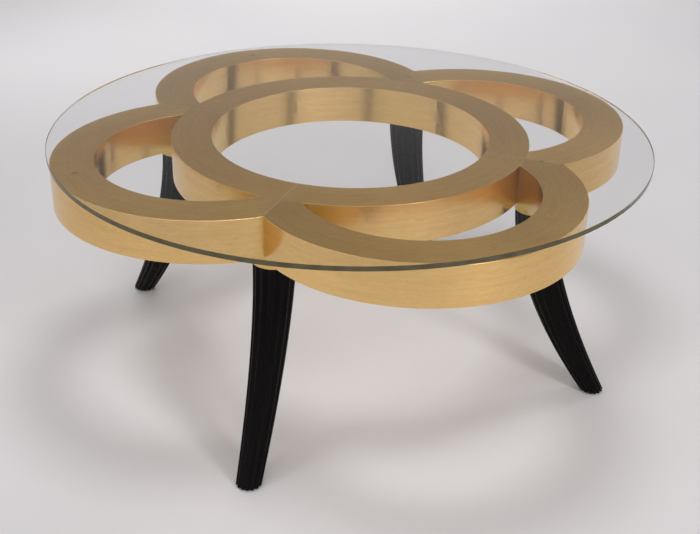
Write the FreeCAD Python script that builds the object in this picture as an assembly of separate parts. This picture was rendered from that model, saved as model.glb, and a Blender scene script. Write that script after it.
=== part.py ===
import FreeCAD, Part
import math
import os

# Round glass-topped coffee table. A centre ring and four petal rings of gilded, brick-laid wood
# stand on four ebonised sabre legs, and a loose round glass top lies on clear bumpers.
# Millimetres, +Z up, origin on the floor below the centre of the top.

# ---- driving dimensions -------------------------------------------------------------------------
glass_diameter = 1066.8          # 42 inch round top
glass_thickness = 8.0
glass_arris = 0.8

bumper_diameter = 12.0
bumper_thickness = 1.5

frame_height = 70.0
course_count = 3                 # layers of glued segments, laid like bricks
ring_outer_radius = 319.5
ring_inner_radius = 248.5
petal_offset = 260.0             # table axis to petal axis
petal_outer_radius = 273.0
petal_inner_radius = 200.0
frame_arris = 0.8
ring_segments = 8                # in each course of the centre ring

leg_height = 344.5               # floor to the underside of the leg disc
leg_top_diameter = 74.0
leg_foot_depth = 37.5            # in the plane of its sweep
leg_foot_width = 45.0            # across that plane
leg_depth_power = 2.1            # how late the leg thins down, in depth and in width
leg_width_power = 1.0
leg_top_reach = 346.0            # table axis to leg axis, at the top and on the floor
leg_foot_reach = 484.0
leg_sweep_power = 1.67           # how late the leg turns outwards
flute_count = 14
flute_depth_ratio = 0.15         # of the leg's half width there
leg_sections = 12

disc_diameter = 74.0
disc_thickness = 18.0

bolt_diameter = 8.0              # M8 hanger bolt
bolt_wood_length = 44.0
bolt_machine_length = 16.0
bolt_point_length = 5.0
bolt_clearance = 0.5

tee_nut_flange_diameter = 22.0
tee_nut_flange_thickness = 1.5
tee_nut_barrel_diameter = 10.0
tee_nut_length = 11.0

screw_diameter = 5.0
screw_head_diameter = 9.5
screw_head_height = 2.6
screw_length = 38.0
screw_point_length = 4.0
screw_spacing = 34.0             # side of the square of four screws in a leg disc

dowel_diameter = 10.0
mitre_dowel_length = 50.0
mitre_dowel_spacing = 28.0
ring_dowel_length = 60.0
ring_dowel_angle = 41.7          # from the petal's axis, about the table axis

glide_diameter = 24.0
glide_thickness = 3.0
glide_arris = 0.8
nail_diameter = 2.4
nail_length = 16.0
nail_head_diameter = 7.0
nail_head_height = 1.2
nail_recess = 0.8                # head below the glide's sole

petal_angles = {"right": 0, "back": 90, "left": 180, "front": 270}
leg_angles = {"back_right": 45, "back_left": 135, "front_left": 225, "front_right": 315}
leg_turns = {"back_right": -5, "back_left": -20, "front_left": 4, "front_right": 3}  # on its own bolt
course_names = ["bottom", "middle", "top"]

# ---- levels and derived sizes -------------------------------------------------------------------
frame_bottom = leg_height + disc_thickness
frame_top = frame_bottom + frame_height
course_height = frame_height / course_count
glass_bottom = frame_top + bumper_thickness
quarter = 90
mitre_angle = quarter / 2
up = FreeCAD.Vector(0, 0, 1)
down = FreeCAD.Vector(0, 0, -1)


def polar(radius, degrees, z=0.0, centre_x=0.0):
    """Point at a radius and angle about a vertical axis that stands at centre_x on the X axis."""
    angle = math.radians(degrees)
    return FreeCAD.Vector(centre_x + radius * math.cos(angle), radius * math.sin(angle), z)


def direction(degrees):
    return polar(1.0, degrees)


def turned(shape, degrees):
    """Copy of a shape, turned about the table axis."""
    copy = shape.copy()
    copy.rotate(FreeCAD.Vector(0, 0, 0), up, degrees)
    return copy


def turned_on_bolt(shape, side):
    """Copy of a leg's piece, turned with the leg on its bolt and then about the table axis."""
    copy = shape.copy()
    copy.rotate(FreeCAD.Vector(leg_top_reach, 0, 0), up, leg_turns[side])
    return turned(copy, leg_angles[side])


def save(node, solids):
    """Write one node: a single solid, or a group of separate solids."""
    shape = solids[0] if len(solids) == 1 else Part.makeCompound(solids)
    shape.exportStep("parts/" + node + ".step")


def soften(solid, radii, size):
    """Round the horizontal circular edges that have one of the given radii."""
    edges = []
    for edge in solid.Edges:
        if not isinstance(edge.Curve, Part.Circle):
            continue
        if abs(edge.Curve.Axis.z) < 0.99:
            continue
        if any(abs(edge.Curve.Radius - radius) < 0.01 for radius in radii):
            edges.append(edge)
    return solid.makeFillet(size, edges)


def cut_all(solids, tools):
    """Take the tools out of every solid they touch."""
    results = []
    for solid in solids:
        for tool in tools:
            if solid.BoundBox.intersect(tool.BoundBox):
                solid = solid.cut(tool)
        results.append(solid.Solids[0])
    return results


# ---- gilded rings -------------------------------------------------------------------------------
def ring_blank(centre_x, outer_radius, inner_radius):
    """Whole ring at full height, with its four arrises rounded."""
    base = FreeCAD.Vector(centre_x, 0, frame_bottom)
    outer = Part.makeCylinder(outer_radius, frame_height, base)
    inner = Part.makeCylinder(inner_radius, frame_height, base)
    return soften(outer.cut(inner), [outer_radius, inner_radius], frame_arris)


def wedge(centre_x, start, end, z, height):
    """Slice of pie about a vertical axis at centre_x, reaching past the rim of the table."""
    reach = glass_diameter
    corners = [polar(0, 0, z, centre_x), polar(reach, start, z, centre_x), polar(reach, end, z, centre_x)]
    face = Part.Face(Part.makePolygon(corners + corners[:1]))
    return face.extrude(up * height)


def petal_blank():
    """Petal ring pointing along +X: mitred against its neighbours, coped onto the centre ring."""
    whole = ring_blank(petal_offset, petal_outer_radius, petal_inner_radius)
    between_mitres = whole.common(wedge(0, -mitre_angle, mitre_angle, frame_bottom, frame_height))
    core = Part.makeCylinder(ring_outer_radius, frame_height, polar(0, 0, frame_bottom))
    return between_mitres.cut(core).Solids[0]


def course_segments(blank, centre_x, joints, course):
    """The segments of one course of a ring, cut at the given joint angles."""
    z = frame_bottom + course * course_height
    pieces = []
    for start, end in zip(joints, joints[1:]):
        pieces.append(blank.common(wedge(centre_x, start, end, z, course_height)).Solids[0])
    return pieces


def ring_joints(course):
    """Joint angles of the centre ring: every other course is shifted by half a segment."""
    span = 360 / ring_segments
    shift = 0 if course % 2 else span / 2
    return [shift + span * number for number in range(ring_segments + 1)]


def petal_joints(course):
    """Joint angles about the petal's axis: the bonded courses alternate like bricks."""
    span = 45
    past_the_mitre = 120
    inner = [-1.5 * span, -span / 2, span / 2, 1.5 * span] if course % 2 else [-span, 0, span]
    return [-past_the_mitre] + inner + [past_the_mitre]


# ---- joinery ------------------------------------------------------------------------------------
def course_middle(course):
    return frame_bottom + (course + 0.5) * course_height


def mitre_dowels():
    """Two dowels across each mitre, halfway up the middle course."""
    dowels = []
    for angle in leg_angles.values():
        across = direction(angle + quarter)
        for side in (-1, 1):
            reach = leg_top_reach + side * mitre_dowel_spacing / 2
            start = polar(reach, angle, course_middle(1)) - across * (mitre_dowel_length / 2)
            dowels.append(Part.makeCylinder(dowel_diameter / 2, mitre_dowel_length, start, across))
    return dowels


def ring_dowels():
    """One radial dowel from the centre ring into each petal end, in the top course."""
    dowels = []
    for petal in petal_angles.values():
        for side in (-1, 1):
            angle = petal + side * ring_dowel_angle
            start = polar(ring_outer_radius - ring_dowel_length / 2, angle, course_middle(2))
            dowels.append(Part.makeCylinder(dowel_diameter / 2, ring_dowel_length, start, direction(angle)))
    return dowels


def disc_screw(x, y):
    """Countersunk wood screw, driven upwards through a leg disc."""
    radius = screw_diameter / 2
    shank_length = screw_length - screw_head_height - screw_point_length
    head = Part.makeCone(screw_head_diameter / 2, radius, screw_head_height, FreeCAD.Vector(x, y, leg_height))
    shank_base = FreeCAD.Vector(x, y, leg_height + screw_head_height)
    shank = Part.makeCylinder(radius, shank_length, shank_base)
    point_base = shank_base + up * shank_length
    point = Part.makeCone(radius, 0.3, screw_point_length, point_base)
    return head.fuse([shank, point]).removeSplitter()


def disc_screws():
    """The four screws of the leg disc that stands on the +X side."""
    half = screw_spacing / 2
    screws = []
    for x in (leg_top_reach - half, leg_top_reach + half):
        for y in (-half, half):
            screws.append(disc_screw(x, y))
    return screws


# ---- legs and their fittings, all drawn on the +X side and then turned into place ----------------
def leg_station(share):
    """Centre, slope, depth and width of the leg at a share of the way down from its top."""
    sweep = leg_foot_reach - leg_top_reach
    reach = leg_top_reach + sweep * share ** leg_sweep_power
    slope = sweep * leg_sweep_power * share ** (leg_sweep_power - 1) / leg_height
    depth = leg_top_diameter - (leg_top_diameter - leg_foot_depth) * share ** leg_depth_power
    width = leg_top_diameter - (leg_top_diameter - leg_foot_width) * share ** leg_width_power
    return FreeCAD.Vector(reach, 0, leg_height * (1 - share)), slope, depth, width


def fluted_section(share):
    """Closed ring of concave arcs that meet in sharp arrises, square to the leg's axis."""
    centre, slope, depth, width = leg_station(share)
    outwards = FreeCAD.Vector(1, 0, slope)
    outwards.normalize()
    sideways = FreeCAD.Vector(0, 1, 0)
    valley = 1 - flute_depth_ratio
    step = 2 * math.pi / flute_count

    def point(scale, angle):
        along = outwards * (scale * depth / 2 * math.cos(angle))
        return centre + along + sideways * (scale * width / 2 * math.sin(angle))

    flutes = []
    for number in range(flute_count):
        start = (number - 0.5) * step
        flute = Part.Arc(point(1, start), point(valley, start + step / 2), point(1, start + step))
        flutes.append(flute.toShape())
    return Part.Wire(flutes)


def leg():
    """Fluted sabre leg: upright under the disc, swept out and tapered to a flat-cut foot."""
    past_the_foot = 1.08
    shares = [past_the_foot * number / leg_sections for number in range(leg_sections + 1)]
    solid = Part.makeLoft([fluted_section(share) for share in shares], True, False)
    below = Part.makeBox(
        glass_diameter,
        glass_diameter,
        glass_diameter,
        FreeCAD.Vector(0, -glass_diameter / 2, glide_thickness - glass_diameter),
    )
    return solid.cut(below).cut(hanger_bolt()).cut(glide_nail()).Solids[0]


def hanger_bolt():
    """Wood thread down into the leg, machine thread up into the tee nut."""
    radius = bolt_diameter / 2
    bottom = FreeCAD.Vector(leg_top_reach, 0, leg_height - bolt_wood_length)
    point = Part.makeCone(0.5, radius, bolt_point_length, bottom)
    length = bolt_wood_length + bolt_machine_length - bolt_point_length
    shank = Part.makeCylinder(radius, length, bottom + up * bolt_point_length)
    return point.fuse(shank).removeSplitter()


def tee_nut():
    """Flange let into the disc's upper face, threaded barrel downwards."""
    top = FreeCAD.Vector(leg_top_reach, 0, frame_bottom)
    flange = Part.makeCylinder(tee_nut_flange_diameter / 2, tee_nut_flange_thickness, top, down)
    barrel = Part.makeCylinder(tee_nut_barrel_diameter / 2, tee_nut_length, top, down)
    thread = Part.makeCylinder(bolt_diameter / 2, tee_nut_length, top, down)
    return flange.fuse(barrel).cut(thread).removeSplitter()


def leg_disc():
    """Turned gilded disc between the leg and the frame."""
    bottom = FreeCAD.Vector(leg_top_reach, 0, leg_height)
    disc = Part.makeCylinder(disc_diameter / 2, disc_thickness, bottom)
    disc = soften(disc, [disc_diameter / 2], frame_arris)
    disc = disc.cut(Part.makeCylinder(bolt_diameter / 2 + bolt_clearance, disc_thickness, bottom))
    nut_top = FreeCAD.Vector(leg_top_reach, 0, frame_bottom)
    seat = Part.makeCylinder(tee_nut_flange_diameter / 2, tee_nut_flange_thickness, nut_top, down)
    barrel_hole = Part.makeCylinder(tee_nut_barrel_diameter / 2, tee_nut_length, nut_top, down)
    return cut_all([disc.cut(seat).cut(barrel_hole)], disc_screws())[0]


def glide():
    """Round nylon pad under the foot, with a counterbored nail hole."""
    bottom = FreeCAD.Vector(leg_foot_reach, 0, 0)
    pad = Part.makeCylinder(glide_diameter / 2, glide_thickness, bottom)
    pad = soften(pad, [glide_diameter / 2], glide_arris)
    recess = Part.makeCylinder(nail_head_diameter / 2, nail_recess + nail_head_height, bottom)
    hole = Part.makeCylinder(nail_diameter / 2, glide_thickness, bottom)
    return pad.cut(recess).cut(hole)


def glide_nail():
    """Flat-headed nail, driven up through the glide into the foot."""
    radius = nail_diameter / 2
    head_bottom = FreeCAD.Vector(leg_foot_reach, 0, nail_recess)
    head = Part.makeCylinder(nail_head_diameter / 2, nail_head_height, head_bottom)
    shank = Part.makeCylinder(radius, nail_length - nail_diameter, head_bottom)
    point = Part.makeCone(radius, 0.2, nail_diameter, head_bottom + up * (nail_length - nail_diameter))
    return head.fuse([shank, point]).removeSplitter()


# ---- glass top ----------------------------------------------------------------------------------
def glass_top():
    disc = Part.makeCylinder(glass_diameter / 2, glass_thickness, polar(0, 0, glass_bottom))
    return soften(disc, [glass_diameter / 2], glass_arris)


def glass_bumpers():
    """Clear pads under the glass: one at the far side of each petal, and one over each mitre."""
    petal_reach = petal_offset + (petal_outer_radius + petal_inner_radius) / 2
    places = [(petal_reach, angle) for angle in petal_angles.values()]
    places += [(leg_top_reach, angle) for angle in leg_angles.values()]
    return [
        Part.makeCylinder(bumper_diameter / 2, bumper_thickness, polar(reach, angle, frame_top))
        for reach, angle in places
    ]


# ---- assembly -----------------------------------------------------------------------------------
def save_rings():
    across_mitres = mitre_dowels()
    into_ring = ring_dowels()
    screws = [turned(screw, angle) for angle in leg_angles.values() for screw in disc_screws()]
    fixings = across_mitres + into_ring + screws
    ring = ring_blank(0, ring_outer_radius, ring_inner_radius)
    petal = petal_blank()
    for course, course_name in enumerate(course_names):
        segments = course_segments(ring, 0, ring_joints(course), course)
        save("centre_ring_" + course_name + "_course", cut_all(segments, into_ring))
        segments = course_segments(petal, petal_offset, petal_joints(course), course)
        for side, angle in petal_angles.items():
            placed = [turned(segment, angle) for segment in segments]
            save("petal_" + side + "_" + course_name + "_course", cut_all(placed, fixings))
    save("mitre_dowels", across_mitres)
    save("ring_dowels", into_ring)


def save_legs():
    turning_with_the_leg = {"leg": leg, "hanger_bolt": hanger_bolt, "glide": glide}
    for name, make in turning_with_the_leg.items():
        solid = make()
        for side in leg_angles:
            save(name + "_" + side, [turned_on_bolt(solid, side)])
    for side, angle in leg_angles.items():
        save("leg_disc_" + side, [turned(leg_disc(), angle)])
        save("tee_nut_" + side, [turned(tee_nut(), angle)])
        save("disc_screws_" + side, [turned(screw, angle) for screw in disc_screws()])
    save("glide_nails", [turned_on_bolt(glide_nail(), side) for side in leg_angles])


def main():
    os.makedirs("parts", exist_ok=True)
    save("glass_top", [glass_top()])
    save("glass_bumpers", glass_bumpers())
    save_rings()
    save_legs()


main()
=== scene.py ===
import math

import bpy
from mathutils import Matrix, Vector


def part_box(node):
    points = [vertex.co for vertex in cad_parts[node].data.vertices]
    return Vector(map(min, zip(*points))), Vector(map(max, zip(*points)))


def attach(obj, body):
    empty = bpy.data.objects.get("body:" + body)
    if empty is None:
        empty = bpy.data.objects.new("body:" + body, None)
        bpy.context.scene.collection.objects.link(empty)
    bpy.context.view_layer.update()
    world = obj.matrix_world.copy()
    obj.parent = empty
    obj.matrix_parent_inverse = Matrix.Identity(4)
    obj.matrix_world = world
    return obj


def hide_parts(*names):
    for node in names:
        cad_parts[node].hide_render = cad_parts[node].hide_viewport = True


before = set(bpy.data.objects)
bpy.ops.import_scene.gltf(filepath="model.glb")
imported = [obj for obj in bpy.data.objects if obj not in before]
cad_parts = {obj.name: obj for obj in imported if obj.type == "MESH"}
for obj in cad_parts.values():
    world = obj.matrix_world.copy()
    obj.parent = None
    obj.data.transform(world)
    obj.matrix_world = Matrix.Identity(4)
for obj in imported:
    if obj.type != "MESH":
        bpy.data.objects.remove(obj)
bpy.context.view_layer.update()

# Looks of a round coffee table: a loose glass top on gilded interlocking rings and four fluted,
# ebonised sabre legs. Metres, +Z up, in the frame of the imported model.

# ---- sizes read from the frame -------------------------------------------------------------------
SIDES = ("back_right", "back_left", "front_left", "front_right")
PETALS = ("right", "back", "left", "front")
COURSES = ("bottom", "middle", "top")
COLLECTION = bpy.context.scene.collection


def span(node):
    low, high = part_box(node)
    return low, high, (low + high) / 2


glass_low, glass_high, _ = span("glass_top")
ring_low, ring_high, _ = span("centre_ring_top_course")
frame_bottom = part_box("centre_ring_bottom_course")[0].z
glass_radius = (glass_high.x - glass_low.x) / 2
ring_outer = (ring_high.x - ring_low.x) / 2
petal_low, petal_high, _ = span("petal_right_top_course")
petal_outer = (petal_high.y - petal_low.y) / 2
petal_offset = petal_high.x - petal_outer


# ---- small helpers -------------------------------------------------------------------------------
def rotation_z(degrees):
    return Matrix.Rotation(math.radians(degrees), 3, "Z")


class Nodes:
    """Short hand for building a material's node tree."""

    def __init__(self, name=None, tree=None):
        self.material = None
        if tree is None:
            self.material = bpy.data.materials.new(name)
            self.material.use_nodes = True
            tree = self.material.node_tree
        self.tree = tree
        self.tree.nodes.clear()
        self.output = self.add("ShaderNodeOutputMaterial" if self.material else "ShaderNodeOutputWorld")

    def add(self, kind, **settings):
        node = self.tree.nodes.new(kind)
        for key, value in settings.items():
            setattr(node, key, value)
        return node

    def link(self, source, target):
        self.tree.links.new(source, target)

    def put(self, target, value):
        """A socket takes either a plain value or another socket."""
        if isinstance(value, bpy.types.NodeSocket):
            self.link(value, target)
        else:
            target.default_value = value

    def math(self, operation, *values):
        node = self.add("ShaderNodeMath", operation=operation)
        for socket, value in zip(node.inputs, values):
            self.put(socket, value)
        return node.outputs[0]

    def mix(self, factor, first, second):
        node = self.add("ShaderNodeMix", data_type="RGBA")
        self.put(node.inputs["Factor"], factor)
        self.put(node.inputs["A"], first)
        self.put(node.inputs["B"], second)
        return node.outputs["Result"]

    def ramp(self, value, low, high, to_low=0.0, to_high=1.0):
        node = self.add("ShaderNodeMapRange", interpolation_type="SMOOTHSTEP")
        self.put(node.inputs["Value"], value)
        node.inputs["From Min"].default_value = low
        node.inputs["From Max"].default_value = high
        node.inputs["To Min"].default_value = to_low
        node.inputs["To Max"].default_value = to_high
        return node.outputs["Result"]

    def noise(self, vector, scale, detail=2.0, roughness=0.5, distortion=0.0):
        node = self.add("ShaderNodeTexNoise")
        self.put(node.inputs["Vector"], vector)
        node.inputs["Scale"].default_value = scale
        node.inputs["Detail"].default_value = detail
        node.inputs["Roughness"].default_value = roughness
        node.inputs["Distortion"].default_value = distortion
        return node.outputs["Fac"]

    def place(self, kind="Object"):
        return self.add("ShaderNodeTexCoord").outputs[kind]

    def dot(self, vector, axis):
        node = self.add("ShaderNodeVectorMath", operation="DOT_PRODUCT")
        self.put(node.inputs[0], vector)
        node.inputs[1].default_value = axis
        return node.outputs["Value"]

    def steps(self, value, stops):
        """Straight runs through a list of (place, value) stops."""
        node = self.add("ShaderNodeFloatCurve")
        self.put(node.inputs["Value"], value)
        curve = node.mapping.curves[0]
        for place, level in stops[1:-1]:
            curve.points.new(place, level)
        for point, (place, level) in zip(curve.points, stops):
            point.location = (place, level)
            point.handle_type = "VECTOR"
        node.mapping.use_clip = False
        node.mapping.update()
        return node.outputs[0]

    def split(self, vector):
        node = self.add("ShaderNodeSeparateXYZ")
        self.put(node.inputs[0], vector)
        return node.outputs

    def join(self, x, y, z):
        node = self.add("ShaderNodeCombineXYZ")
        for socket, value in zip(node.inputs, (x, y, z)):
            self.put(socket, value)
        return node.outputs[0]

    def bump(self, height, distance, strength):
        node = self.add("ShaderNodeBump")
        node.inputs["Strength"].default_value = strength
        node.inputs["Distance"].default_value = distance
        self.put(node.inputs["Height"], height)
        return node.outputs[0]

    def blend(self, factor, first, second):
        node = self.add("ShaderNodeMixShader")
        self.put(node.inputs["Fac"], factor)
        self.link(first, node.inputs[1])
        self.link(second, node.inputs[2])
        return node.outputs[0]

    def principled(self, **values):
        node = self.add("ShaderNodeBsdfPrincipled")
        for key, value in values.items():
            self.put(node.inputs[key.replace("_", " ")], value)
        return node

    def finish(self, shader):
        self.link(shader, self.output.inputs["Surface"])
        return self.material


# ---- camera, as the table was seen ---------------------------------------------------------------
CAMERA_AZIMUTH = -25.37          # degrees, from the front petal towards the left one
CAMERA_DISTANCE = 1.960          # from the table's axis, along the floor
CAMERA_HEIGHT = 1.182
CAMERA_PITCH = -27.44
CAMERA_PAN = -0.13
CAMERA_ROLL = 1.265
CAMERA_LENS = 59.56


def make_camera():
    data = bpy.data.cameras.new("camera")
    data.lens = CAMERA_LENS
    data.sensor_width = 36.0
    data.clip_start = 0.05
    data.clip_end = 60.0
    camera = bpy.data.objects.new("camera", data)
    COLLECTION.objects.link(camera)
    upright = Matrix.Rotation(math.radians(90 + CAMERA_PITCH), 3, "X")
    rolled = upright @ Matrix.Rotation(math.radians(CAMERA_ROLL), 3, "Z")
    turned = rotation_z(CAMERA_AZIMUTH + CAMERA_PAN) @ rolled
    position = rotation_z(CAMERA_AZIMUTH) @ Vector((0, -CAMERA_DISTANCE, CAMERA_HEIGHT))
    camera.matrix_world = Matrix.Translation(position) @ turned.to_4x4()
    bpy.context.scene.camera = camera
    bpy.context.scene.view_settings.view_transform = "Standard"


# ---- studio --------------------------------------------------------------------------------------
FLOOR_HALF = 14.0                # from the table's axis to the floor's edge
FLOOR_DARKER = (0.70, 0.682, 0.70, 1)
FLOOR_LIGHTER = (0.72, 0.702, 0.715, 1)


def make_floor():
    """Plain pale floor, a trace cloudy and the same all over."""
    mesh = bpy.data.meshes.new("floor")
    half = FLOOR_HALF
    corners = [(-half, -half, 0), (half, -half, 0), (half, half, 0), (-half, half, 0)]
    mesh.from_pydata(corners, [], [(0, 1, 2, 3)])
    floor = bpy.data.objects.new("floor", mesh)
    COLLECTION.objects.link(floor)
    n = Nodes("studio_floor")
    place = n.place()
    soft = n.noise(place, 1.3, 3.0)
    colour = n.mix(n.ramp(soft, 0.3, 0.7), FLOOR_DARKER, FLOOR_LIGHTER)
    mesh.materials.append(n.finish(n.principled(Base_Color=colour, Roughness=0.55).outputs[0]))


# Brightness of the room at each sine of the elevation, and straight up. The sides are named as the
# camera sees them. Beyond the table it is nearly black at middle height, which the glass mirrors.
SKY_LEVELS = (0.0, 0.10, 0.26, 0.47, 0.75)
SKY_SIDES = {
    "behind_camera": (0.60, 0.60, 0.80, 1.30, 0.80),
    "right": (0.20, 0.20, 0.20, 0.10, 0.10),
    "beyond": (0.80, 0.80, 0.40, 0.03, 0.25),
    "left": (0.25, 0.30, 1.20, 1.00, 0.20),
}
SKY_TOP = 0.20
SKY_TINT = (1.0, 0.985, 0.995, 1)

# Square soft lights: bearing from the camera's side, reach from the table's axis, height, size and
# power. They aim at the underside of the frame.
SOFTBOXES = {
    "front_right_softbox": (37.5, 2.19, 1.47, 0.45, 14.9),
    "front_left_softbox": (-48, 1.56, 0.92, 0.38, 2.6),
    "back_left_softbox": (-145, 2.46, 1.12, 0.40, 6.2),
    "right_softbox": (120, 2.51, 1.45, 0.45, 8.0),
    "overhead_softbox": (-30, 0.14, 2.01, 0.56, 12.4),
}
UNMIRRORED = ("overhead_softbox", "back_left_softbox", "backdrop_wash")
BACKDROP_WASH = (180, 3.3, 2.5, 1.8, 56.0)
BACKDROP_REACH = 3.9             # where the wash lands on the floor, beyond the table


def make_world():
    """Plain studio room: each side fades from the horizon to the ceiling on its own."""
    world = bpy.data.worlds.new("studio")
    bpy.context.scene.world = world
    world.use_nodes = True
    n = Nodes(tree=world.node_tree)
    direction = n.place("Generated")
    forward = rotation_z(CAMERA_AZIMUTH) @ Vector((0, 1, 0))
    rightward = rotation_z(CAMERA_AZIMUTH) @ Vector((1, 0, 0))
    along = n.dot(direction, forward)
    across = n.dot(direction, rightward)
    height = n.split(direction)[2]
    level = n.math("SUBTRACT", 1.0, n.math("MULTIPLY", height, height))
    level = n.math("MAXIMUM", level, 0.001)
    facing = {
        "beyond": n.math("MAXIMUM", along, 0.0),
        "behind_camera": n.math("MAXIMUM", n.math("MULTIPLY", along, -1.0), 0.0),
        "right": n.math("MAXIMUM", across, 0.0),
        "left": n.math("MAXIMUM", n.math("MULTIPLY", across, -1.0), 0.0),
    }
    total = None
    for side, values in SKY_SIDES.items():
        share = n.math("DIVIDE", n.math("MULTIPLY", facing[side], facing[side]), level)
        stops = list(zip(SKY_LEVELS + (1.0,), values + (SKY_TOP,)))
        part = n.math("MULTIPLY", share, n.steps(height, stops))
        total = part if total is None else n.math("ADD", total, part)
    background = n.add("ShaderNodeBackground")
    background.inputs["Color"].default_value = SKY_TINT
    n.link(total, background.inputs["Strength"])
    n.finish(background.outputs[0])


def softbox(name, bearing, reach, height, size, power, aim=None):
    """Square soft light aimed at the frame's underside, or at aim."""
    data = bpy.data.lights.new(name, "AREA")
    data.shape = "SQUARE"
    data.size = size
    data.energy = power
    light = bpy.data.objects.new(name, data)
    COLLECTION.objects.link(light)
    position = rotation_z(CAMERA_AZIMUTH + bearing) @ Vector((0, -reach, height))
    target = aim or Vector((0, 0, frame_bottom))
    aimed = (target - position).to_track_quat("-Z", "Y").to_matrix().to_4x4()
    light.matrix_world = Matrix.Translation(position) @ aimed
    light.visible_camera = False
    light.visible_transmission = False
    light.visible_glossy = name not in UNMIRRORED


def make_lights():
    for name, (bearing, reach, height, size, power) in SOFTBOXES.items():
        softbox(name, bearing, reach, height, size, power)
    backdrop = rotation_z(CAMERA_AZIMUTH) @ Vector((0, BACKDROP_REACH, 0))
    softbox("backdrop_wash", *BACKDROP_WASH, backdrop)


# ---- materials -----------------------------------------------------------------------------------
GOLD_PALE = (0.95, 0.662, 0.282, 1)
GOLD_DEEP = (0.91, 0.606, 0.240, 1)
GOLD_LAP = (0.70, 0.40, 0.15, 1)
GOLD_SPECK = (0.34, 0.20, 0.09, 1)
# Painted shade: a deeper, darker gold on the walls near the inner corners, where light bounces between facing
# walls.
GOLD_CORNER_SHADE = (0.62, 0.44, 0.10, 1)
# Painted highlight: a pale line on the flats along the mitre joints, for light caught by the joints' edges.
GOLD_SEAM_HIGHLIGHT = (1.0, 0.86, 0.60, 1)
LEAF_SIDE = 0.083                # a sheet of leaf
LEAF_WRAP = 0.27                 # radius at which the sheets are laid round a ring
LEAF_DRIFT = 0.016               # how far a lap wanders
PETAL_WIDTH = 0.073              # of the petal rings, from their outer edge to their inner one
NOTCH_CORNER_SHADE = (0.035, 0.35)     # painted shade: its reach from the corner, and its strength at the corner
CROOK_CORNER_SHADE = (0.120, 0.80)
MITRE_HIGHLIGHT = (0.0005, 0.0016)    # how far |x| and |y| differ where the painted highlight fades, and ends
MITRE_HIGHLIGHT_STRENGTH = 0.75
WALL_ROUGHNESS = (0.208, 0.222)
FLAT_ROUGHENING = 0.22           # added where the surface faces up or down
GOLD_ANISOTROPY = 0.50
GOLD_RELIEF = 0.00001            # depth of the bump


def crossing(radius, offset, other):
    """Where a circle about the origin meets one of radius other whose middle lies offset along X."""
    along = (radius ** 2 + offset ** 2 - other ** 2) / (2 * offset)
    return along, math.sqrt(radius ** 2 - along ** 2)


# Plan corners where two petals meet, and where a petal's inner edge meets the centre ring.
NOTCH = ((petal_offset + math.sqrt(2 * petal_outer ** 2 - petal_offset ** 2)) / 2,) * 2
CROOK = crossing(ring_outer, petal_offset, petal_outer - PETAL_WIDTH)


def corner_distance(n, x, y, corner):
    """Distance in plan to a corner that repeats in all eight eighths of the frame."""
    flat_x, flat_y = n.math("ABSOLUTE", x), n.math("ABSOLUTE", y)
    far = n.math("SUBTRACT", n.math("MAXIMUM", flat_x, flat_y), max(corner))
    near = n.math("SUBTRACT", n.math("MINIMUM", flat_x, flat_y), min(corner))
    return n.math("SQRT", n.math("ADD", n.math("MULTIPLY", far, far), n.math("MULTIPLY", near, near)))


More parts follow.
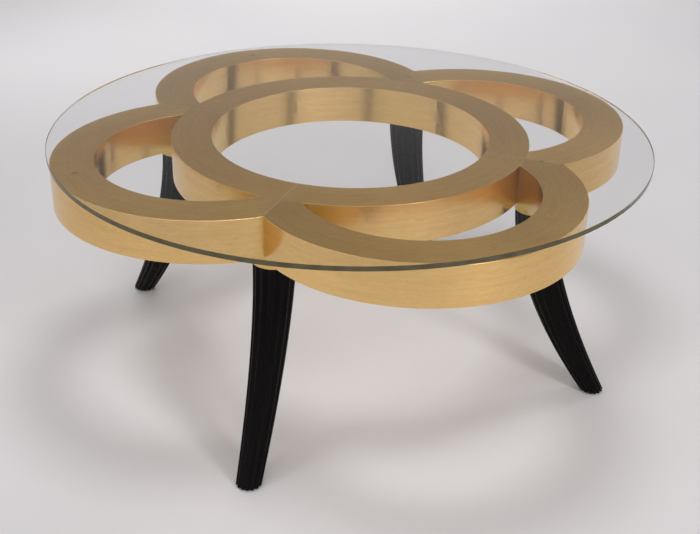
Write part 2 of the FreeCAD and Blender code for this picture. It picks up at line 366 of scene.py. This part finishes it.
def gold_leaf(name, centre):
    """Satin gold leaf on gesso, rubbed round a ring whose axis stands at centre, with painted shade in the
    corners and a painted highlight along the mitres.
    """
    n = Nodes(name)
    place = n.place()
    x, y, z = n.split(place)
    off_x = n.math("SUBTRACT", x, centre[0])
    off_y = n.math("SUBTRACT", y, centre[1])
    angle = n.math("ARCTAN2", off_y, off_x)
    reach = n.math("SQRT", n.math("ADD", n.math("MULTIPLY", off_x, off_x), n.math("MULTIPLY", off_y, off_y)))
    round_way = n.math("MULTIPLY", angle, LEAF_WRAP)
    up_way = n.math("ADD", z, reach)
    wander = n.noise(place, 14.0, 3.0)
    drift = n.math("MULTIPLY", n.math("SUBTRACT", wander, 0.5), LEAF_DRIFT)
    along = n.math("DIVIDE", n.math("ADD", round_way, drift), LEAF_SIDE)
    across = n.math("DIVIDE", n.math("ADD", up_way, drift), LEAF_SIDE)
    lap = n.math("MINIMUM", n.math("PINGPONG", along, 0.5), n.math("PINGPONG", across, 0.5))
    lap_line = n.ramp(lap, 0.0, 0.010, 1.0, 0.0)
    lap_band = n.ramp(lap, 0.0, 0.06, 1.0, 0.0)
    cell = n.add("ShaderNodeTexWhiteNoise", noise_dimensions="2D")
    n.link(n.join(n.math("FLOOR", along), n.math("FLOOR", across), 0.0), cell.inputs["Vector"])
    tone = cell.outputs["Value"]
    cloud = n.noise(place, 26.0, 4.0, 0.6)
    brushed = n.noise(n.join(n.math("MULTIPLY", round_way, 0.10), up_way, 0.0), 420.0, 3.0, 0.65)
    rubbed = n.noise(n.join(n.math("MULTIPLY", round_way, 0.06), up_way, 0.3), 110.0, 3.0, 0.6)
    mottle = n.noise(place, 160.0, 3.0, 0.65)
    specks = n.noise(place, 330.0, 1.0, 0.4)
    gaps = n.noise(place, 60.0, 2.0, 0.5)
    flat = n.math("ABSOLUTE", n.split(n.add("ShaderNodeNewGeometry").outputs["Normal"])[2])
    wall = n.ramp(flat, 0.3, 0.7, 1.0, 0.0)
    colour = n.mix(n.ramp(cloud, 0.2, 0.8, 0.15, 0.90), GOLD_DEEP, GOLD_PALE)
    colour = n.mix(n.math("MULTIPLY", tone, 0.14), colour, GOLD_PALE)
    colour = n.mix(n.ramp(mottle, 0.35, 0.75, 0.0, 0.18), colour, GOLD_LAP)
    colour = n.mix(n.ramp(brushed, 0.30, 0.75, 0.0, 0.32), colour, GOLD_LAP)
    colour = n.mix(n.ramp(rubbed, 0.35, 0.75, 0.0, 0.24), colour, GOLD_LAP)
    colour = n.mix(n.math("MULTIPLY", lap_line, n.ramp(gaps, 0.40, 0.62, 0.0, 0.14)), colour, GOLD_LAP)
    colour = n.mix(n.ramp(specks, 0.765, 0.82, 0.0, 0.22), colour, GOLD_SPECK)
    # Painted shade: the walls turn a deeper, darker gold towards the corners where petals meet each other and
    # the centre ring.
    notch_shade = n.ramp(corner_distance(n, x, y, NOTCH), 0.0, *NOTCH_CORNER_SHADE, 0.0)
    crook_shade = n.ramp(corner_distance(n, x, y, CROOK), 0.0, *CROOK_CORNER_SHADE, 0.0)
    corner_shade = n.math("MULTIPLY", n.math("MAXIMUM", notch_shade, crook_shade), wall)
    colour = n.mix(corner_shade, colour, GOLD_CORNER_SHADE)
    # Painted highlight: a pale line along the mitres, where |x| and |y| are equal, on the flats only.
    seam_highlight = n.math("ABSOLUTE", n.math("SUBTRACT", n.math("ABSOLUTE", x), n.math("ABSOLUTE", y)))
    seam_highlight = n.math("MULTIPLY", n.ramp(seam_highlight, *MITRE_HIGHLIGHT, MITRE_HIGHLIGHT_STRENGTH, 0.0), n.ramp(flat, 0.3, 0.7))
    colour = n.mix(n.math("MULTIPLY", seam_highlight, n.ramp(gaps, 0.30, 0.55, 0.3, 1.0)), colour, GOLD_SEAM_HIGHLIGHT)
    rough = n.math("ADD", n.ramp(cloud, 0.2, 0.8, *WALL_ROUGHNESS), n.math("MULTIPLY", tone, 0.012))
    rough = n.math("ADD", rough, n.math("MULTIPLY", n.ramp(mottle, 0.3, 0.7), 0.015))
    rough = n.math("ADD", rough, n.math("MULTIPLY", n.ramp(brushed, 0.3, 0.7), 0.02))
    rough = n.math("ADD", rough, n.ramp(flat, 0.3, 0.7, 0.0, FLAT_ROUGHENING))
    height = n.math("ADD", n.math("MULTIPLY", brushed, 0.12), n.math("MULTIPLY", mottle, 0.05))
    height = n.math("ADD", height, n.math("MULTIPLY", lap_band, 0.05))
    bump = n.bump(height, GOLD_RELIEF, 0.5)
    gold = n.principled(Base_Color=colour, Roughness=rough, Metallic=1.0, Normal=bump)
    gold.inputs["Anisotropic"].default_value = GOLD_ANISOTROPY
    n.link(n.join(off_x, off_y, reach), gold.inputs["Tangent"])
    return n.finish(gold.outputs[0])


EBONY_DARK = (0.0018, 0.0013, 0.0012, 1)
EBONY_GRAIN = (0.0050, 0.0026, 0.0021, 1)
EBONY_SPECULAR = 0.09


def ebonised_wood():
    """Black lacquered hardwood with a faint, slightly brown grain along the leg."""
    n = Nodes("ebonised_wood")
    place = n.place()
    x, y, z = n.split(place)
    stretched = n.join(n.math("MULTIPLY", x, 12.0), n.math("MULTIPLY", y, 12.0), z)
    grain = n.noise(stretched, 20.0, 5.0, 0.65, 0.4)
    pores = n.noise(stretched, 120.0, 2.0, 0.5)
    cloud = n.noise(place, 30.0, 3.0)
    colour = n.mix(n.ramp(grain, 0.40, 0.80), EBONY_DARK, EBONY_GRAIN)
    rough = n.ramp(cloud, 0.25, 0.75, 0.24, 0.34)
    height = n.math("ADD", n.math("MULTIPLY", grain, 0.5), n.math("MULTIPLY", pores, 0.5))
    bump = n.bump(height, 0.00006, 0.5)
    wood = n.principled(Base_Color=colour, Roughness=rough, Normal=bump)
    wood.inputs["Specular IOR Level"].default_value = EBONY_SPECULAR
    return n.finish(wood.outputs[0])


GLASS_TINT = (0.995, 1.0, 0.998, 1)
GLASS_INDEX = 1.25               # below float glass's 1.52, as the photograph shows hardly any mirror
GLASS_SHADOW = (0.965, 0.975, 0.970, 1)
RIM_DARK = (0.074, 0.062, 0.026, 1)
RIM_PALE = (0.110, 0.092, 0.044, 1)
RIM_INDEX = 1.47
RIM_FADE = (0.0011, 0.0006)      # distances in from the edge at which the rim's colour starts and is full


def clear_glass():
    """Float glass: clear through its faces, olive at the polished edge, open to lamps."""
    n = Nodes("clear_glass")
    place = n.place()
    x, y, _ = n.split(place)
    reach = n.math("SQRT", n.math("ADD", n.math("MULTIPLY", x, x), n.math("MULTIPLY", y, y)))
    edge = n.ramp(reach, glass_radius - RIM_FADE[0], glass_radius - RIM_FADE[1])
    smear = n.noise(place, 3.0, 4.0, 0.6)
    ripple = n.noise(place, 40.0, 2.0, 0.5)
    glass = n.principled(Base_Color=GLASS_TINT, Roughness=n.ramp(smear, 0.3, 0.8, 0.0, 0.008))
    glass.inputs["Transmission Weight"].default_value = 1.0
    glass.inputs["IOR"].default_value = GLASS_INDEX
    tint = n.mix(n.ramp(ripple, 0.3, 0.7), RIM_DARK, RIM_PALE)
    rim = n.principled(Base_Color=tint, Roughness=n.ramp(ripple, 0.3, 0.7, 0.10, 0.16))
    rim.inputs["Transmission Weight"].default_value = 0.10
    rim.inputs["IOR"].default_value = RIM_INDEX
    inside = n.add("ShaderNodeNewGeometry").outputs["Backfacing"]
    outer = n.math("MULTIPLY", edge, n.math("SUBTRACT", 1.0, inside))
    body = n.blend(outer, glass.outputs[0], rim.outputs[0])
    open_way = n.add("ShaderNodeBsdfTransparent")
    open_way.inputs["Color"].default_value = GLASS_SHADOW
    lamp_ray = n.add("ShaderNodeLightPath").outputs["Is Shadow Ray"]
    return n.finish(n.blend(lamp_ray, body, open_way.outputs[0]))


def clear_silicone():
    """Soft clear pads, nearly transparent so that they hardly show under the glass."""
    n = Nodes("clear_silicone")
    cloud = n.noise(n.place(), 400.0, 2.0)
    tint = n.mix(cloud, (0.80, 0.78, 0.72, 1), (0.90, 0.88, 0.82, 1))
    pad = n.principled(Base_Color=tint, Roughness=n.ramp(cloud, 0.3, 0.7, 0.25, 0.40))
    pad.inputs["Alpha"].default_value = 0.02
    return n.finish(pad.outputs[0])


def zinc_steel():
    """Bright zinc plate with a fine spangle."""
    n = Nodes("zinc_steel")
    spangle = n.noise(n.place(), 700.0, 3.0, 0.6)
    colour = n.mix(n.ramp(spangle, 0.3, 0.7), (0.50, 0.52, 0.53, 1), (0.66, 0.67, 0.66, 1))
    rough = n.ramp(spangle, 0.2, 0.8, 0.24, 0.40)
    bump = n.bump(spangle, 0.00005, 0.4)
    return n.finish(n.principled(Base_Color=colour, Roughness=rough, Metallic=1.0, Normal=bump).outputs[0])


def beech():
    """Plain beech with flecks, for the dowels."""
    n = Nodes("beech")
    place = n.place()
    x, y, z = n.split(place)
    grain = n.noise(n.join(x, y, n.math("MULTIPLY", z, 9.0)), 90.0, 4.0, 0.6)
    flecks = n.noise(place, 1200.0, 1.0)
    colour = n.mix(grain, (0.60, 0.40, 0.24, 1), (0.76, 0.56, 0.37, 1))
    bump = n.bump(flecks, 0.0001, 0.4)
    rough = n.ramp(grain, 0.2, 0.8, 0.55, 0.7)
    return n.finish(n.principled(Base_Color=colour, Roughness=rough, Normal=bump).outputs[0])


def nylon():
    """Slightly translucent pale plastic of the glides."""
    n = Nodes("nylon_glide")
    cloud = n.noise(n.place(), 500.0, 3.0)
    colour = n.mix(cloud, (0.66, 0.72, 0.74, 1), (0.80, 0.84, 0.85, 1))
    rough = n.ramp(cloud, 0.2, 0.8, 0.34, 0.5)
    bump = n.bump(cloud, 0.00008, 0.4)
    pad = n.principled(Base_Color=colour, Roughness=rough, Normal=bump)
    pad.inputs["Transmission Weight"].default_value = 0.35
    return n.finish(pad.outputs[0])


# ---- glass bumpers -------------------------------------------------------------------------------
BUMPER_RADIUS = 0.006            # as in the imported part
BUMPER_CLEARANCE = 0.00005       # below the glass
BUMPER_SIDE = 0.25               # straight part of the height
BUMPER_ROWS = 8
BUMPER_POINTS = 40


def glass_bumper(name, middle, low, high, material):
    """Self-adhesive clear dome: a short straight side, then a crown that stops just below the glass."""
    crown = high - low - BUMPER_CLEARANCE
    side = BUMPER_SIDE * crown
    rings = [(BUMPER_RADIUS, 0.0), (BUMPER_RADIUS, side)]
    for row in range(1, BUMPER_ROWS):
        turn = math.pi / 2 * row / BUMPER_ROWS
        rings.append((BUMPER_RADIUS * math.cos(turn), side + (crown - side) * math.sin(turn)))
    points = []
    for radius, height in rings:
        for number in range(BUMPER_POINTS):
            angle = 2 * math.pi * number / BUMPER_POINTS
            x = middle[0] + radius * math.cos(angle)
            y = middle[1] + radius * math.sin(angle)
            points.append((x, y, low + height))
    points.append((middle[0], middle[1], low + crown))
    faces = [tuple(reversed(range(BUMPER_POINTS)))]
    for row in range(len(rings) - 1):
        for number in range(BUMPER_POINTS):
            following = (number + 1) % BUMPER_POINTS
            base = row * BUMPER_POINTS
            faces.append((base + number, base + following, base + BUMPER_POINTS + following,
                          base + BUMPER_POINTS + number))
    last = (len(rings) - 1) * BUMPER_POINTS
    for number in range(BUMPER_POINTS):
        faces.append((last + number, last + (number + 1) % BUMPER_POINTS, len(points) - 1))
    mesh = bpy.data.meshes.new(name)
    mesh.from_pydata(points, [], faces)
    for polygon in mesh.polygons:
        polygon.use_smooth = len(polygon.vertices) <= 4
    mesh.materials.append(material)
    piece = bpy.data.objects.new(name, mesh)
    COLLECTION.objects.link(piece)
    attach(piece, "frame")
    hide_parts("glass_bumpers")


def glass_bumpers(material):
    """One at the far side of each petal, and one over each leg's bolt."""
    low, high, _ = span("glass_bumpers")
    reach = high.x - BUMPER_RADIUS
    places = {"right": (reach, 0), "back": (0, reach), "left": (-reach, 0), "front": (0, -reach)}
    for side in SIDES:
        places[side] = span("leg_disc_" + side)[2]
    for place, middle in places.items():
        glass_bumper("glass_bumper_" + place, middle, low.z, high.z, material)


# ---- sabre legs ----------------------------------------------------------------------------------
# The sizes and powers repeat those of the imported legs; the arrises here are a little softer.
LEG_TOP_DIAMETER = 0.074
LEG_FOOT_DEPTH = 0.0375
LEG_FOOT_WIDTH = 0.045
LEG_DEPTH_POWER = 2.1
LEG_WIDTH_POWER = 1.0
LEG_SWEEP_POWER = 1.67
FLUTES = 14
FLUTE_DEPTH = 0.15               # of the half width
FLUTE_POINTS = 14
ARRIS_ROUNDING = 0.16            # of a flute, smoothed away to either side
ARRIS_SAMPLES = 9
LEG_ROWS = 72
FOOT_CHAMFER = 0.0006
SEARCH_END = 1.15                # share of the leg's height, past its foot
SEARCH_STEPS = 30


def flute_scale(turn):
    """Distance from the leg's axis, 1 at a sharp arris, with every arris a little rounded."""
    total = 0.0
    for number in range(ARRIS_SAMPLES):
        offset = ARRIS_ROUNDING * (2 * number / (ARRIS_SAMPLES - 1) - 1)
        from_middle = 2 * ((turn * FLUTES + offset) % 1.0) - 1
        total += 1 - FLUTE_DEPTH * (1 - from_middle ** 2)
    return total / ARRIS_SAMPLES


def leg_point(share, turn, scale, sweep, height):
    """Point on the leg in its own frame: X along the sweep, share counted down from the top."""
    reach = sweep * share ** LEG_SWEEP_POWER
    slope = sweep * LEG_SWEEP_POWER * share ** (LEG_SWEEP_POWER - 1) / height
    outwards = Vector((1, 0, slope)).normalized()
    depth = LEG_TOP_DIAMETER - (LEG_TOP_DIAMETER - LEG_FOOT_DEPTH) * share ** LEG_DEPTH_POWER
    width = LEG_TOP_DIAMETER - (LEG_TOP_DIAMETER - LEG_FOOT_WIDTH) * share ** LEG_WIDTH_POWER
    angle = 2 * math.pi * turn
    point = Vector((reach, 0, height * (1 - share)))
    point += outwards * (scale * depth / 2 * math.cos(angle))
    point.y += scale * width / 2 * math.sin(angle)
    return point


def share_at(level, turn, scale, sweep, height):
    """How far down a line along the leg meets a horizontal plane."""
    low, high = 0.0, SEARCH_END
    for _ in range(SEARCH_STEPS):
        middle = (low + high) / 2
        if leg_point(middle, turn, scale, sweep, height).z > level:
            low = middle
        else:
            high = middle
    return low


def sabre_leg(side, material):
    """Fluted leg with soft arrises, standing on its glide and screwed up to its disc."""
    disc_low, _, disc_middle = span("leg_disc_" + side)
    _, glide_high, glide_middle = span("glide_" + side)
    height = disc_low.z
    foot = glide_high.z
    away = Vector((glide_middle.x - disc_middle.x, glide_middle.y - disc_middle.y, 0))
    sweep = away.length
    turned = Matrix.Rotation(math.atan2(away.y, away.x), 4, "Z")
    placed = Matrix.Translation((disc_middle.x, disc_middle.y, 0)) @ turned
    around = FLUTES * FLUTE_POINTS
    turns = [(number / FLUTE_POINTS - 0.5) / FLUTES for number in range(around)]
    scales = [flute_scale(number / around) for number in range(around)]
    inset = 1 - 2 * FOOT_CHAMFER / LEG_FOOT_DEPTH
    rows = []
    rows.append([leg_point(0, turn, scale * (1 - FOOT_CHAMFER / LEG_TOP_DIAMETER), sweep, height)
                 for turn, scale in zip(turns, scales)])
    ends = [share_at(foot + FOOT_CHAMFER, turn, scale, sweep, height) for turn, scale in zip(turns, scales)]
    top_share = FOOT_CHAMFER / height
    for row in range(LEG_ROWS + 1):
        part = row / LEG_ROWS
        shares = [top_share + (end - top_share) * part for end in ends]
        rows.append([leg_point(share, turn, scale, sweep, height)
                     for share, turn, scale in zip(shares, turns, scales)])
    sole = []
    for turn, scale in zip(turns, scales):
        share = share_at(foot, turn, scale * inset, sweep, height)
        sole.append(leg_point(share, turn, scale * inset, sweep, height))
    rows.append(sole)
    points = [placed @ point for row in rows for point in row]
    faces = [tuple(range(around))]
    for row in range(len(rows) - 1):
        for number in range(around):
            following = (number + 1) % around
            base = row * around
            faces.append((base + number, base + around + number, base + around + following, base + following))
    faces.append(tuple(reversed(range((len(rows) - 1) * around, len(rows) * around))))
    mesh = bpy.data.meshes.new("sabre_leg_" + side)
    mesh.from_pydata(points, [], faces)
    for polygon in mesh.polygons:
        polygon.use_smooth = len(polygon.vertices) == 4
    mesh.materials.append(material)
    piece = bpy.data.objects.new("sabre_leg_" + side, mesh)
    COLLECTION.objects.link(piece)
    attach(piece, "frame")
    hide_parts("leg_" + side)


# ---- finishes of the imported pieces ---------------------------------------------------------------
def dress(node, material):
    """Give a CAD node its material in every slot."""
    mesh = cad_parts[node].data
    if not mesh.materials:
        mesh.materials.append(material)
    for number in range(len(mesh.materials)):
        mesh.materials[number] = material


def dress_all():
    centres = {"right": (1, 0), "back": (0, 1), "left": (-1, 0), "front": (0, -1)}
    ring_gold = gold_leaf("gold_leaf_centre_ring", (0.0, 0.0))
    for course in COURSES:
        dress("centre_ring_" + course + "_course", ring_gold)
    for petal in PETALS:
        centre = [petal_offset * share for share in centres[petal]]
        petal_gold = gold_leaf("gold_leaf_petal_" + petal, centre)
        for course in COURSES:
            dress("petal_" + petal + "_" + course + "_course", petal_gold)
    black, steel, plastic, wood = ebonised_wood(), zinc_steel(), nylon(), beech()
    for side in SIDES:
        middle = span("leg_disc_" + side)[2]
        dress("leg_disc_" + side, gold_leaf("gold_leaf_disc_" + side, (middle.x, middle.y)))
        sabre_leg(side, black)
        dress("hanger_bolt_" + side, steel)
        dress("tee_nut_" + side, steel)
        dress("disc_screws_" + side, steel)
        dress("glide_" + side, plastic)
    dress("glide_nails", steel)
    dress("mitre_dowels", wood)
    dress("ring_dowels", wood)
    dress("glass_top", clear_glass())
    glass_bumpers(clear_silicone())


# ---- build ---------------------------------------------------------------------------------------
make_camera()
make_world()
make_lights()
make_floor()
dress_all()
